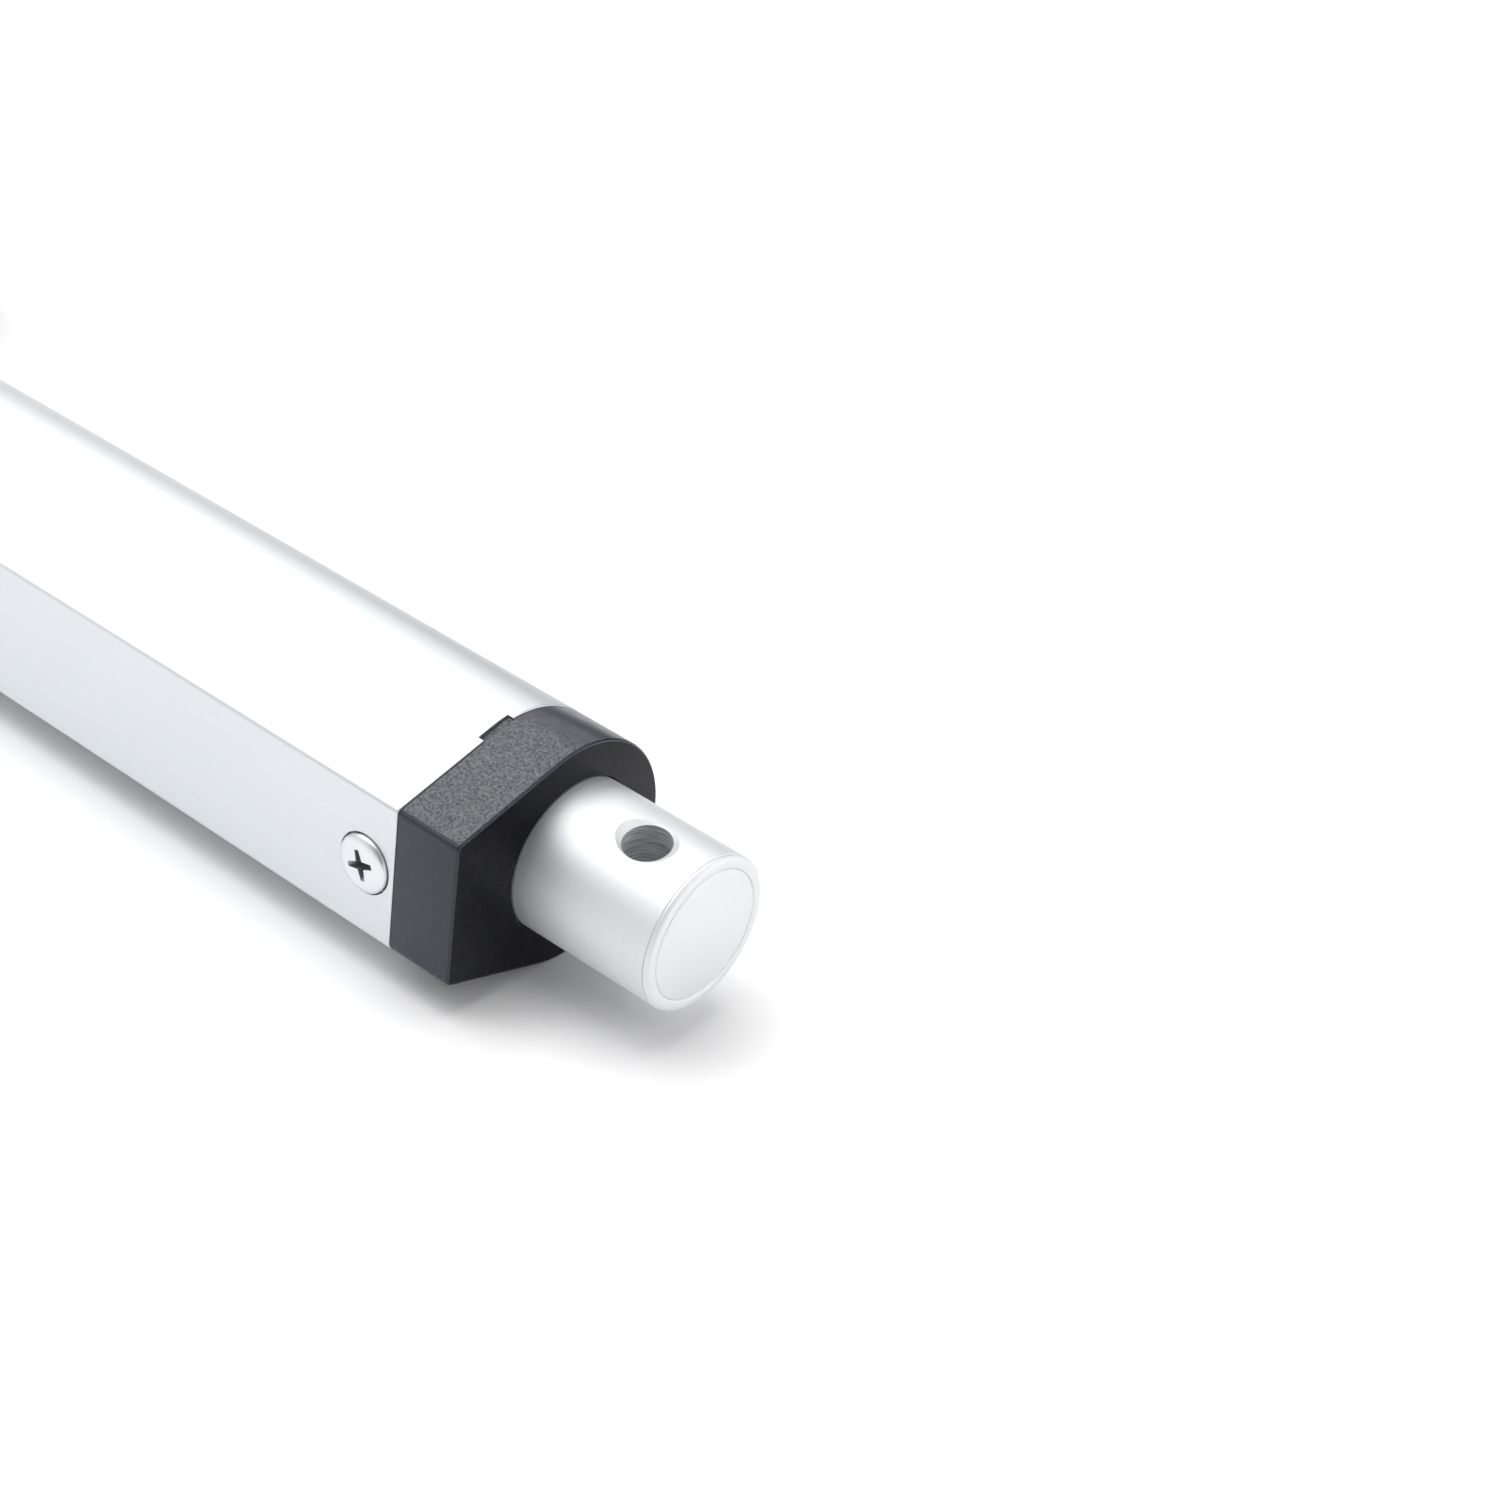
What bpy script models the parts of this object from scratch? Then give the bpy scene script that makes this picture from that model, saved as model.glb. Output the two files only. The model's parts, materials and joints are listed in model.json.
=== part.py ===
"""Mini linear actuator: 200 mm stroke, folded spur gearmotor, teardrop extrusion and round rod.

Lengths below are in millimetres, measured from the rear pivot, with the rod axis along +X and +Z up.
The flat side of the extrusion faces -Y and the motor lies beside the tube at +Y. Every piece hangs
from one empty that carries the assembly so that the centre of its footprint is the world origin.
"""
import math

import bmesh
import bpy
from mathutils import Matrix, Vector
from mathutils.geometry import tessellate_polygon

MM = 0.001

# travel and overall layout
STROKE = 200.0
CAP_FRONT = 292.6
CAP_THICK = 9.5
ROD_REACH = 20.8
ROD_TIP = CAP_FRONT + ROD_REACH
PIN_X = 305.0
LEAD = 3.0

# teardrop extrusion
R_TUBE = 14.9
R_CASE_FRONT = 15.0
FLAT_Y = 19.8
FLAT_HALF = 9.75
CORNER_R = 1.0
R_BORE = 13.2
CHANNEL_Y = 17.8
CHANNEL_HALF = 7.0
TUBE_START = 48.3
TUBE_END = CAP_FRONT - CAP_THICK - 0.15
TAB_ANGLE = 105.7
TAB_LENGTH = 0.75
TAB_HALF = 2.35
TAB_TOP = 14.45

# rod
R_ROD = 10.0
R_ROD_BORE = 8.5
R_PIN = 3.0
R_SINK = 4.5
ROD_ROLL = 12.27

# gearbox
HOUSING_START = 12.0
HOUSING_END = 33.5
ADAPTER_START = 34.5
ADAPTER_END = 48.0
TANG_R = 9.0
TANG_HALF = 5.0
MODULE_OUT = 0.9
TEETH_OUT = 26
TEETH_MID_SMALL = 13
MODULE_IN = 0.7
TEETH_MID_LARGE = 40
TEETH_IN = 14
MOTOR_Z = 4.0
AXIS_DISTANCE = 36.0
BACKLASH = 0.22
ADDENDUM = 0.65
DEDENDUM = 1.15
R_MOTOR_POD = 19.0

C_OUT = MODULE_OUT * (TEETH_OUT + TEETH_MID_SMALL) / 2
C_IN = MODULE_IN * (TEETH_IN + TEETH_MID_LARGE) / 2
MOTOR_Y = math.sqrt(AXIS_DISTANCE ** 2 - MOTOR_Z ** 2)
ALONG = (AXIS_DISTANCE ** 2 + C_OUT ** 2 - C_IN ** 2) / (2 * AXIS_DISTANCE)
ASIDE = math.sqrt(C_OUT ** 2 - ALONG ** 2)
LINE_Y = MOTOR_Y / AXIS_DISTANCE
LINE_Z = MOTOR_Z / AXIS_DISTANCE
MID_Y = ALONG * LINE_Y - ASIDE * LINE_Z
MID_Z = ALONG * LINE_Z + ASIDE * LINE_Y

SCREW_AXIS = (0.0, 0.0)
MID_AXIS = (MID_Y, MID_Z)
MOTOR_AXIS = (MOTOR_Y, MOTOR_Z)
GLAND_AXIS = (39.0, 6.0)
CASE_SCREWS = ((-16.4, 0.0), (26.5, -11.9), (33.0, 18.6), (49.5, -4.0))
MOTOR_SCREW_OFFSET = 9.0
MOTOR_SCREW_ANGLE = math.radians(78)

BOX_LOW = (-TANG_R, -FLAT_Y - 0.8, -R_CASE_FRONT)
BOX_HIGH = (ROD_TIP, MOTOR_Y + R_MOTOR_POD, MOTOR_Z + R_MOTOR_POD)

for old in list(bpy.data.objects):
    bpy.data.objects.remove(old, do_unlink=True)

ROOT = bpy.data.objects.new("actuator", None)
ROOT.location = (
    -MM * (BOX_LOW[0] + BOX_HIGH[0]) / 2,
    -MM * (BOX_LOW[1] + BOX_HIGH[1]) / 2,
    -MM * BOX_LOW[2],
)
bpy.context.scene.collection.objects.link(ROOT)


def material(name, colour, roughness, metallic):
    made = bpy.data.materials.new(name)
    made.use_nodes = True
    shader = made.node_tree.nodes["Principled BSDF"]
    shader.inputs["Base Color"].default_value = (*colour, 1.0)
    shader.inputs["Roughness"].default_value = roughness
    shader.inputs["Metallic"].default_value = metallic
    return made


ANODISED = material("anodised_aluminium", (0.76, 0.77, 0.78), 0.42, 0.9)
ROD_METAL = material("rod_aluminium", (0.70, 0.71, 0.72), 0.35, 0.95)
BLACK_PLASTIC = material("black_nylon", (0.035, 0.036, 0.042), 0.55, 0.0)
BRONZE = material("sintered_bronze", (0.42, 0.29, 0.16), 0.5, 0.9)
RUBBER = material("seal_rubber", (0.012, 0.012, 0.014), 0.75, 0.0)
STEEL = material("bright_steel", (0.55, 0.56, 0.58), 0.28, 1.0)
ZINC_STEEL = material("zinc_steel", (0.62, 0.63, 0.65), 0.35, 1.0)
WHITE_ACETAL = material("white_acetal", (0.80, 0.80, 0.77), 0.45, 0.0)
CASTING = material("black_casting", (0.045, 0.046, 0.05), 0.5, 0.3)
FERRITE = material("ferrite", (0.06, 0.058, 0.06), 0.8, 0.0)
COPPER = material("copper", (0.72, 0.36, 0.22), 0.35, 1.0)
CARBON = material("carbon", (0.03, 0.03, 0.03), 0.7, 0.0)
BOARD = material("green_board", (0.03, 0.16, 0.07), 0.5, 0.0)
GASKET = material("fibre_gasket", (0.06, 0.065, 0.065), 0.85, 0.0)


def finish(name, bm, made_of, at=(0.0, 0.0, 0.0), roll=0.0):
    """Turns a bmesh in millimetres into a placed, closed object with crisp edges."""
    bmesh.ops.remove_doubles(bm, verts=bm.verts, dist=1e-5)
    bmesh.ops.recalc_face_normals(bm, faces=bm.faces)
    bmesh.ops.scale(bm, vec=(MM, MM, MM), verts=bm.verts)
    for edge in bm.edges:
        edge.smooth = edge.calc_face_angle(0.0) < math.radians(31)
    for face in bm.faces:
        face.smooth = True
    mesh = bpy.data.meshes.new(name)
    bm.to_mesh(mesh)
    bm.free()
    mesh.materials.append(made_of)
    placed = bpy.data.objects.new(name, mesh)
    bpy.context.scene.collection.objects.link(placed)
    placed.parent = ROOT
    placed.location = [MM * value for value in at]
    placed.rotation_euler = (math.radians(roll), 0.0, 0.0)
    return placed


def to_space(axis, u, v, w):
    """(u, v) lie in the section and w runs along the axis."""
    if axis == "X":
        return (w, u, v)
    if axis == "Y":
        return (u, w, v)
    return (u, v, w)


def loft(sections, holes=(), axis="X"):
    """A solid through sections (w, loop); straight holes run from the first section to the last."""
    bm = bmesh.new()

    def ring(loop, w):
        return [bm.verts.new(to_space(axis, u, v, w)) for u, v in loop]

    outer = [ring(loop, w) for w, loop in sections]
    inner = [[ring(hole, w) for hole in holes] for w in (sections[0][0], sections[-1][0])]

    def walls(first, second):
        count = len(first)
        for i in range(count):
            j = (i + 1) % count
            bm.faces.new((first[i], first[j], second[j], second[i]))

    for first, second in zip(outer, outer[1:]):
        walls(first, second)
    for first, second in zip(inner[0], inner[1]):
        walls(second, first)
    for rings in ([outer[0]] + inner[0], [outer[-1]] + inner[1]):
        if len(rings) == 1:
            bm.faces.new(rings[0])
            continue
        flat = [vert for loop in rings for vert in loop]
        loops = [[vert.co.copy() for vert in loop] for loop in rings]
        for corners in tessellate_polygon(loops):
            bm.faces.new([flat[i] for i in corners])
    return bm


def prism(loop, w0, w1, holes=(), axis="X"):
    return loft([(w0, loop), (w1, loop)], holes, axis)


def turned(chain, count=32, ring=False, axis="X"):
    """Revolves (w, r) points about the axis; a ring is a closed chain with its own bore."""
    bm = bmesh.new()
    turns = [2 * math.pi * i / count for i in range(count)]

    def circle(w, r):
        return [bm.verts.new(to_space(axis, r * math.cos(a), r * math.sin(a), w)) for a in turns]

    rings = [circle(w, r) for w, r in chain]
    pairs = list(zip(rings, rings[1:]))
    if ring:
        pairs.append((rings[-1], rings[0]))
    for first, second in pairs:
        for i in range(count):
            j = (i + 1) % count
            bm.faces.new((first[i], first[j], second[j], second[i]))
    if not ring:
        bm.faces.new(rings[0])
        bm.faces.new(rings[-1])
    return bm


def tube_ring(w0, w1, r_in, r_out, count=28):
    return turned([(w0, r_in), (w0, r_out), (w1, r_out), (w1, r_in)], count, True)


def rod_shape(w0, w1, r, count=24, axis="X"):
    return turned([(w0, r), (w1, r)], count, False, axis)


def box(low, high):
    loop = [(low[1], low[2]), (high[1], low[2]), (high[1], high[2]), (low[1], high[2])]
    return prism(loop, low[0], high[0])


def circle_loop(centre, r, count=32):
    return [
        (
            centre[0] + r * math.cos(2 * math.pi * i / count),
            centre[1] + r * math.sin(2 * math.pi * i / count),
        )
        for i in range(count)
    ]


def hull(points):
    """Convex outline, anticlockwise."""
    points = sorted(set((round(u, 6), round(v, 6)) for u, v in points))

    def half(ordered):
        chain = []
        for p in ordered:
            while len(chain) > 1:
                a = chain[-2]
                b = chain[-1]
                if (b[0] - a[0]) * (p[1] - a[1]) - (b[1] - a[1]) * (p[0] - a[0]) > 1e-6:
                    break
                chain.pop()
            chain.append(p)
        return chain[:-1]

    return half(points) + half(points[::-1])


reach = math.hypot(FLAT_Y, FLAT_HALF)
TANGENT = math.pi - math.atan2(FLAT_HALF, FLAT_Y) - math.acos(R_TUBE / reach)


def teardrop(inset=0.0, arc_steps=44, corner=CORNER_R):
    """Outline of the extrusion, anticlockwise: round at +Y, flat at -Y, straight flanks between."""
    r = R_TUBE - inset
    flat = FLAT_Y - inset
    half = (r - -flat * math.cos(TANGENT)) / math.sin(TANGENT)
    points = []
    for i in range(arc_steps + 1):
        a = -TANGENT + 2 * TANGENT * i / arc_steps
        points.append((r * math.cos(a), r * math.sin(a)))
    # rounded corners, between the flank's normal and the flat's
    soft = max(corner - inset, 0.05)
    turn = math.pi - TANGENT
    back = soft * math.tan(turn / 2)
    upper = []
    cy = -flat + soft
    cz = half - back
    for i in range(5):
        a = TANGENT + turn * i / 4
        upper.append((cy + soft * math.cos(a), cz + soft * math.sin(a)))
    lower = [(u, -v) for u, v in reversed(upper)]
    return points + upper + lower


def keyhole(r, flat, half, arc_steps=32):
    """Round bore that opens into the channel behind the flat side."""
    start = math.pi - math.asin(half / r)
    points = []
    for i in range(arc_steps + 1):
        a = -start + 2 * start * i / arc_steps
        points.append((r * math.cos(a), r * math.sin(a)))
    return points + [(-flat, half), (-flat, -half)]


def involute(angle):
    return math.tan(angle) - angle


def gear_loop(module, teeth, phase):
    """Stub involute outline; a tooth is centred on the angle phase."""
    pressure = math.radians(20)
    pitch = module * teeth / 2
    base = pitch * math.cos(pressure)
    tip = pitch + ADDENDUM * module
    root = pitch - DEDENDUM * module
    half_pitch = (math.pi * module / 2 - BACKLASH / 2) / (2 * pitch)
    low = max(base, root + 0.05)
    flank = []
    for i in range(2):
        r = low + (tip - low) * i
        open_angle = math.acos(min(1.0, base / r))
        flank.append((r, half_pitch + involute(pressure) - involute(open_angle)))
    points = []
    for k in range(teeth):
        middle = phase + 2 * math.pi * k / teeth
        points.append((root, middle - flank[0][1] - 0.01))
        points += [(r, middle - half) for r, half in flank]
        points += [(r, middle + half) for r, half in reversed(flank)]
        points.append((root, middle + flank[0][1] + 0.01))
    return [(r * math.cos(a), r * math.sin(a)) for r, a in points]


def helper(target, bm, operation, at=(0.0, 0.0, 0.0), roll=0.0):
    """Joins to or cuts from the target with a hidden shape."""
    shape = finish("tool", bm, target.data.materials[0], at, roll)
    shape.hide_render = True
    shape.display_type = "WIRE"
    step = target.modifiers.new("shape", "BOOLEAN")
    step.operation = operation
    step.solver = "EXACT"
    step.object = shape
    return shape


def cut(target, bm, at=(0.0, 0.0, 0.0), roll=0.0):
    return helper(target, bm, "DIFFERENCE", at, roll)


def join(target, bm, at=(0.0, 0.0, 0.0), roll=0.0):
    return helper(target, bm, "UNION", at, roll)


def on(axis_yz):
    return (0.0, axis_yz[0], axis_yz[1])


# ---- tube, cap and their screws -------------------------------------------------------------
OUTLINE = teardrop()
TAB_X = TUBE_END - TAB_LENGTH


def tab_shape(w0, w1, half, low, high):
    """Locating tab in the end of the tube wall, where the flank meets the arc."""
    a = math.radians(TAB_ANGLE)
    along = (-math.sin(a), math.cos(a))
    out = (math.cos(a), math.sin(a))
    corners = []
    for side, deep in ((-half, low), (half, low), (half, high), (-half, high)):
        corners.append((along[0] * side + out[0] * deep, along[1] * side + out[1] * deep))
    return prism(corners, w0, w1)


outer_tube = finish(
    "outer_tube",
    prism(OUTLINE, TUBE_START, TUBE_END, [keyhole(R_BORE, CHANNEL_Y, CHANNEL_HALF)[::-1]]),
    ANODISED,
)
cut(outer_tube, tab_shape(TAB_X - 0.15, TUBE_END + 1, TAB_HALF + 0.15, 12.0, 16.0))

CAP_BACK = CAP_FRONT - CAP_THICK
SCREW_X = CAP_FRONT - 14.3
front_cap = finish(
    "front_cap",
    loft(
        [
            (CAP_BACK, OUTLINE),
            (CAP_FRONT - 0.6, OUTLINE),
            (CAP_FRONT, teardrop(0.6)),
        ]
    ),
    BLACK_PLASTIC,
)
join(front_cap, prism(keyhole(12.9, 17.4, 6.6), 271.0, CAP_BACK + 2))
join(front_cap, tab_shape(TAB_X, CAP_BACK + 2, TAB_HALF, 12.2, TAB_TOP))
cut(front_cap, rod_shape(270.0, 289.8, 11.7, 40))
cut(front_cap, rod_shape(289.0, CAP_FRONT + 1, 10.6, 40))

finish("guide_bush", tube_ring(271.5, 286.2, 10.25, 11.4, 40), BRONZE)
finish("wiper_seal", tube_ring(286.7, 289.4, 10.25, 11.4, 40), RUBBER)

CAP_SCREW = [(-20.6, 1.4), (-20.35, 2.8), (-19.8, 3.7), (-18.9, 3.7), (-18.9, 1.25), (-13.2, 1.25)]
SCREW_PROUD = 0.8
SEAT_R = 4.1
SEAT_DEPTH = 1.1
for name, turn in (("cap_screw_flat_side", 0.0), ("cap_screw_round_side", 180.0)):
    lift = 0.0 if turn == 0.0 else FLAT_Y - R_TUBE
    seat = FLAT_Y if turn == 0.0 else R_TUBE
    chain = [(w + lift, r) for w, r in CAP_SCREW]
    if turn:
        chain[-1] = (-12.1, 1.25)
    finish(name, turned(chain, 24, False, "Y"), ZINC_STEEL, (SCREW_X, 0.0, 0.0), turn)
    cut(outer_tube, rod_shape(-seat - 1, SEAT_DEPTH - seat, SEAT_R, 32, "Y"), (SCREW_X, 0.0, 0.0), turn)
    for body in (outer_tube, front_cap):
        cut(body, rod_shape(-seat - 1, -11.9, 1.55, 16, "Y"), (SCREW_X, 0.0, 0.0), turn)

# ---- rod ------------------------------------------------------------------------------------
PIN_TOOL = [
    (-12.0, R_SINK + 2.0),
    (-R_ROD + 1.5, R_PIN),
    (R_ROD - 1.5, R_PIN),
    (12.0, R_SINK + 2.0),
]
rod_tube = finish(
    "rod_tube",
    turned(
        [
            (66.0, R_ROD_BORE),
            (66.0, R_ROD),
            (ROD_TIP - 0.9, R_ROD),
            (ROD_TIP, R_ROD - 0.9),
            (ROD_TIP, R_ROD_BORE),
        ],
        56,
        True,
    ),
    ROD_METAL,
)
rod_end_plug = finish(
    "rod_end_plug",
    turned([(295.0, 8.0), (295.3, 8.3), (ROD_TIP - 0.3, 8.3), (ROD_TIP - 0.1, 8.1)], 40),
    ROD_METAL,
)
for body in (rod_tube, rod_end_plug):
    cut(body, turned(PIN_TOOL, 32, False, "Z"), (PIN_X, 0.0, 0.0), ROD_ROLL)

lead_nut = finish("lead_nut", rod_shape(56.0, 65.7, 12.8, 32), WHITE_ACETAL)
join(lead_nut, rod_shape(65.0, 78.0, 8.2, 24))
join(lead_nut, box((56.5, -14.0, -6.6), (65.2, -9.0, 6.6)))
cut(lead_nut, rod_shape(50.0, 80.0, 4.85, 24))

# ---- screw and its bearing ------------------------------------------------------------------
SCREW_STEPS = (
    (10.6, 23.9, 2.4),
    (23.9, 34.6, 3.9),
    (34.6, 44.0, 4.7),
    (44.0, 46.5, 6.8),
    (46.5, 275.0, 4.5),
    (275.0, 278.0, 3.5),
)
screw_chain = []
for w0, w1, r in SCREW_STEPS:
    screw_chain += [(w0, r), (w1, r)]
finish("lead_screw", turned(screw_chain, 24), STEEL)
finish("screw_circlip", tube_ring(23.0, 23.7, 2.7, 5.2, 20), STEEL)
finish("gear_spacer", tube_ring(33.2, 34.3, 4.2, 6.0, 20), STEEL)
finish("bearing_inner_race", tube_ring(34.9, 43.0, 5.0, 7.2, 24), STEEL)
finish("bearing_outer_race", tube_ring(34.9, 43.0, 10.5, 13.0, 32), STEEL)
for name, start in (("bearing_shield_rear", 35.2), ("bearing_shield_front", 42.1)):
    finish(name, tube_ring(start, start + 0.6, 7.6, 10.2, 24), ZINC_STEEL)

# ---- gears ----------------------------------------------------------------------------------
TO_MID = math.atan2(MID_Z, MID_Y)
TO_MOTOR = math.atan2(MOTOR_Z - MID_Z, MOTOR_Y - MID_Y)
GEARS = (
    ("output_gear", MODULE_OUT, TEETH_OUT, TO_MID, 24.3, 33.0, 4.2, SCREW_AXIS, STEEL),
    (
        "compound_pinion",
        MODULE_OUT,
        TEETH_MID_SMALL,
        TO_MID + math.pi + math.pi / TEETH_MID_SMALL,
        16.8,
        33.0,
        1.8,
        MID_AXIS,
        STEEL,
    ),
    (
        "compound_wheel",
        MODULE_IN,
        TEETH_MID_LARGE,
        TO_MOTOR,
        16.8,
        21.8,
        6.75,
        MID_AXIS,
        WHITE_ACETAL,
    ),
    (
        "motor_pinion",
        MODULE_IN,
        TEETH_IN,
        TO_MOTOR + math.pi + math.pi / TEETH_IN,
        16.3,
        22.6,
        1.9,
        MOTOR_AXIS,
        STEEL,
    ),
)
for name, module, teeth, phase, w0, w1, bore, axis_yz, made_of in GEARS:
    hole = circle_loop((0.0, 0.0), bore, 20)[::-1]
    finish(name, prism(gear_loop(module, teeth, phase), w0, w1, [hole]), made_of, on(axis_yz))
finish("compound_axle", rod_shape(13.2, 41.0, 1.5, 16), STEEL, on(MID_AXIS))

# ---- motor ----------------------------------------------------------------------------------
MOTOR = on(MOTOR_AXIS)
ROTOR = [
    (15.8, 1.6),
    (58.0, 1.6),
    (58.0, 11.3),
    (81.0, 11.3),
    (81.0, 1.6),
    (93.5, 1.6),
]
finish("motor_rotor", turned(ROTOR, 24), STEEL, MOTOR)
finish("commutator", tube_ring(82.0, 88.0, 1.9, 4.2, 16), COPPER, MOTOR)
for name, side in (("brush_outer", 1), ("brush_inner", -1)):
    ends = sorted((side * 4.5, side * 10.0))
    finish(name, box((83.5, ends[0], -1.5), (86.5, ends[1], 1.5)), CARBON, MOTOR)
for name, middle in (("magnet_upper", 90), ("magnet_lower", 270)):
    arc = [math.radians(middle - 62 + 124 * i / 8) for i in range(9)]
    loop = [(14.0 * math.cos(a), 14.0 * math.sin(a)) for a in arc]
    loop += [(11.8 * math.cos(a), 11.8 * math.sin(a)) for a in reversed(arc)]
    finish(name, prism(loop, 55.0, 82.0), FERRITE, MOTOR)
CAN = [(50.0, 3.4), (50.0, 15.5), (91.0, 15.5), (91.0, 14.3), (51.5, 14.3), (51.5, 3.4)]
motor_can = finish("motor_can", turned(CAN, 32, True), ZINC_STEEL, MOTOR)
finish("motor_end_bell", tube_ring(91.3, 95.0, 1.9, 15.5, 32), BLACK_PLASTIC, MOTOR)
finish("motor_cover", tube_ring(48.3, 103.0, 16.0, 18.7, 48), ANODISED, MOTOR)
END_CAP = [(98.3, 15.6), (103.3, 15.6), (103.3, 18.7), (109.0, 18.7), (110.5, 17.2)]
finish("motor_end_cap", turned(END_CAP, 48), BLACK_PLASTIC, MOTOR)

# ---- gearbox --------------------------------------------------------------------------------
CASE = hull(
    OUTLINE
    + circle_loop(SCREW_AXIS, R_CASE_FRONT, 64)
    + circle_loop(MID_AXIS, 17.0, 48)
    + circle_loop(MOTOR_AXIS, R_MOTOR_POD, 48)
)
CAVITY = hull(
    circle_loop(SCREW_AXIS, 13.0, 36)
    + circle_loop(MID_AXIS, 15.0, 36)
    + circle_loop(MOTOR_AXIS, 8.0, 24)
)
rear_housing = finish("gearbox_rear_housing", prism(CASE, HOUSING_START, HOUSING_END), CASTING)
tang = [(HOUSING_START + 2, -TANG_R), (HOUSING_START + 2, TANG_R)]
for i in range(25):
    a = math.pi / 2 + math.pi * i / 24
    tang.append((TANG_R * math.cos(a), TANG_R * math.sin(a)))
join(rear_housing, prism(tang, -TANG_HALF, TANG_HALF, (), "Z"))
cut(rear_housing, prism(CAVITY, 15.2, HOUSING_END + 1))
cut(rear_housing, rod_shape(10.0, 16.0, 2.7, 20))
cut(rear_housing, rod_shape(12.9, 16.0, 1.8, 16), on(MID_AXIS))
cut(rear_housing, rod_shape(11.0, 16.0, 3.4, 20), on(GLAND_AXIS))
cut(rear_housing, rod_shape(-TANG_HALF - 1, TANG_HALF + 1, 4.5, 32, "Z"))
finish(
    "rear_pivot_bush",
    turned([(-5.0, 3.2), (-5.0, 4.2), (5.0, 4.2), (5.0, 3.2)], 32, True, "Z"),
    BRONZE,
)

case_holes = [circle_loop(centre, 1.55, 12)[::-1] for centre in CASE_SCREWS]
finish(
    "gearbox_gasket",
    prism(CASE, HOUSING_END + 0.2, ADAPTER_START - 0.2, [CAVITY[::-1]] + case_holes),
    GASKET,
)
adapter = finish("gearbox_adapter", prism(CASE, ADAPTER_START, ADAPTER_END), CASTING)
join(adapter, rod_shape(47.0, 54.0, 12.8, 36))
cut(adapter, rod_shape(34.0, 43.3, 13.35, 40))
cut(adapter, rod_shape(43.0, 55.0, 7.6, 28))
cut(adapter, rod_shape(34.0, 41.4, 1.8, 16), on(MID_AXIS))
cut(adapter, rod_shape(34.0, 49.0, 4.0, 20), on(MOTOR_AXIS))
for number, centre in enumerate(CASE_SCREWS, 1):
    cut(rear_housing, rod_shape(11.0, 34.0, 1.55, 12), on(centre))
    cut(adapter, rod_shape(34.0, 44.0, 1.55, 12), on(centre))
    finish(
        "gearbox_screw_%d" % number,
        turned([(9.8, 1.9), (10.1, 2.25), (11.8, 2.25), (11.8, 1.25), (43.5, 1.25)], 12),
        ZINC_STEEL,
        on(centre),
    )
for number, side in ((1, 1), (2, -1)):
    centre = (
        MOTOR_Y + side * MOTOR_SCREW_OFFSET * math.cos(MOTOR_SCREW_ANGLE),
        MOTOR_Z + side * MOTOR_SCREW_OFFSET * math.sin(MOTOR_SCREW_ANGLE),
    )
    cut(adapter, rod_shape(34.0, 45.0, 2.6, 16), on(centre))
    cut(adapter, rod_shape(44.0, 49.0, 1.5, 12), on(centre))
    cut(motor_can, rod_shape(49.0, 52.0, 1.5, 12), on(centre))
    finish(
        "motor_screw_%d" % number,
        turned([(43.0, 1.9), (43.3, 2.25), (44.8, 2.25), (44.8, 1.2), (53.0, 1.2)], 12),
        ZINC_STEEL,
        on(centre),
    )
GLAND = [(5.0, 2.2), (5.0, 4.6), (11.8, 4.6), (11.8, 3.1), (14.8, 3.1), (14.8, 2.2)]
finish("cable_gland", turned(GLAND, 20, True), RUBBER, on(GLAND_AXIS))

# ---- limit switches in the channel ----------------------------------------------------------
finish("limit_switch_board", box((56.0, -17.5, -5.5), (268.0, -16.5, 5.5)), BOARD)
for name, start in (("limit_switch_rear", 58.0), ("limit_switch_front", 257.0)):
    finish(name, box((start, -16.2, -3.0), (start + 6.5, -14.4, 3.0)), BLACK_PLASTIC)
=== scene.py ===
"""Looks for the mini linear actuator: satin tube, black cap, drilled rod and folded gearmotor.

Lengths in the shape code are millimetres from the rear pivot, with the rod axis along +X and +Z up;
place() carries them into the row frame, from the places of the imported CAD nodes.
"""

import json
import math

import bmesh
import bpy
from mathutils import Matrix, Vector
from mathutils.geometry import tessellate_polygon


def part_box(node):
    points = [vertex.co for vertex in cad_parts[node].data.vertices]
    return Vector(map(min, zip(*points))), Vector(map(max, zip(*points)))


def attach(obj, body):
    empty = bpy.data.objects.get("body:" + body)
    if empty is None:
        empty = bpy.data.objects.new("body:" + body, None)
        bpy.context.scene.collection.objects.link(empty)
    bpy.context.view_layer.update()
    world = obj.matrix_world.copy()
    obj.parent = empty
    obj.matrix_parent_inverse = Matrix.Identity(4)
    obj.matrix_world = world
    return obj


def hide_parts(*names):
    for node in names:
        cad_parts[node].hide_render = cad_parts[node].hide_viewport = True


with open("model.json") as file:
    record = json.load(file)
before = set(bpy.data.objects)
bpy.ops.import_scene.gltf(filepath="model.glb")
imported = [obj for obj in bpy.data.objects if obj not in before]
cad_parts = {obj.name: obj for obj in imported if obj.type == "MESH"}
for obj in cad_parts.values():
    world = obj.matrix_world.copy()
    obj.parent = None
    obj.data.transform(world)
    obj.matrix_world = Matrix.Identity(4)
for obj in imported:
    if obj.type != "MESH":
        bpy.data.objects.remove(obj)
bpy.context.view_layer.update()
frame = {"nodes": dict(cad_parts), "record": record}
nodes = frame["nodes"]
MM = 0.001

# ---- places, read from the CAD ---------------------------------------------------------------
eye_low, eye_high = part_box("rear_pivot_bush")
rod_low, rod_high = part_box("rod_tube")
cap_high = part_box("front_cap")[1]
ORIGIN = Vector(
    (
        (eye_low.x + eye_high.x) / 2,
        (rod_low.y + rod_high.y) / 2,
        (rod_low.z + rod_high.z) / 2,
    )
)


def local(point):
    """Row frame metres to millimetres from the rear pivot."""
    return (Vector(point) - ORIGIN) / MM


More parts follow.
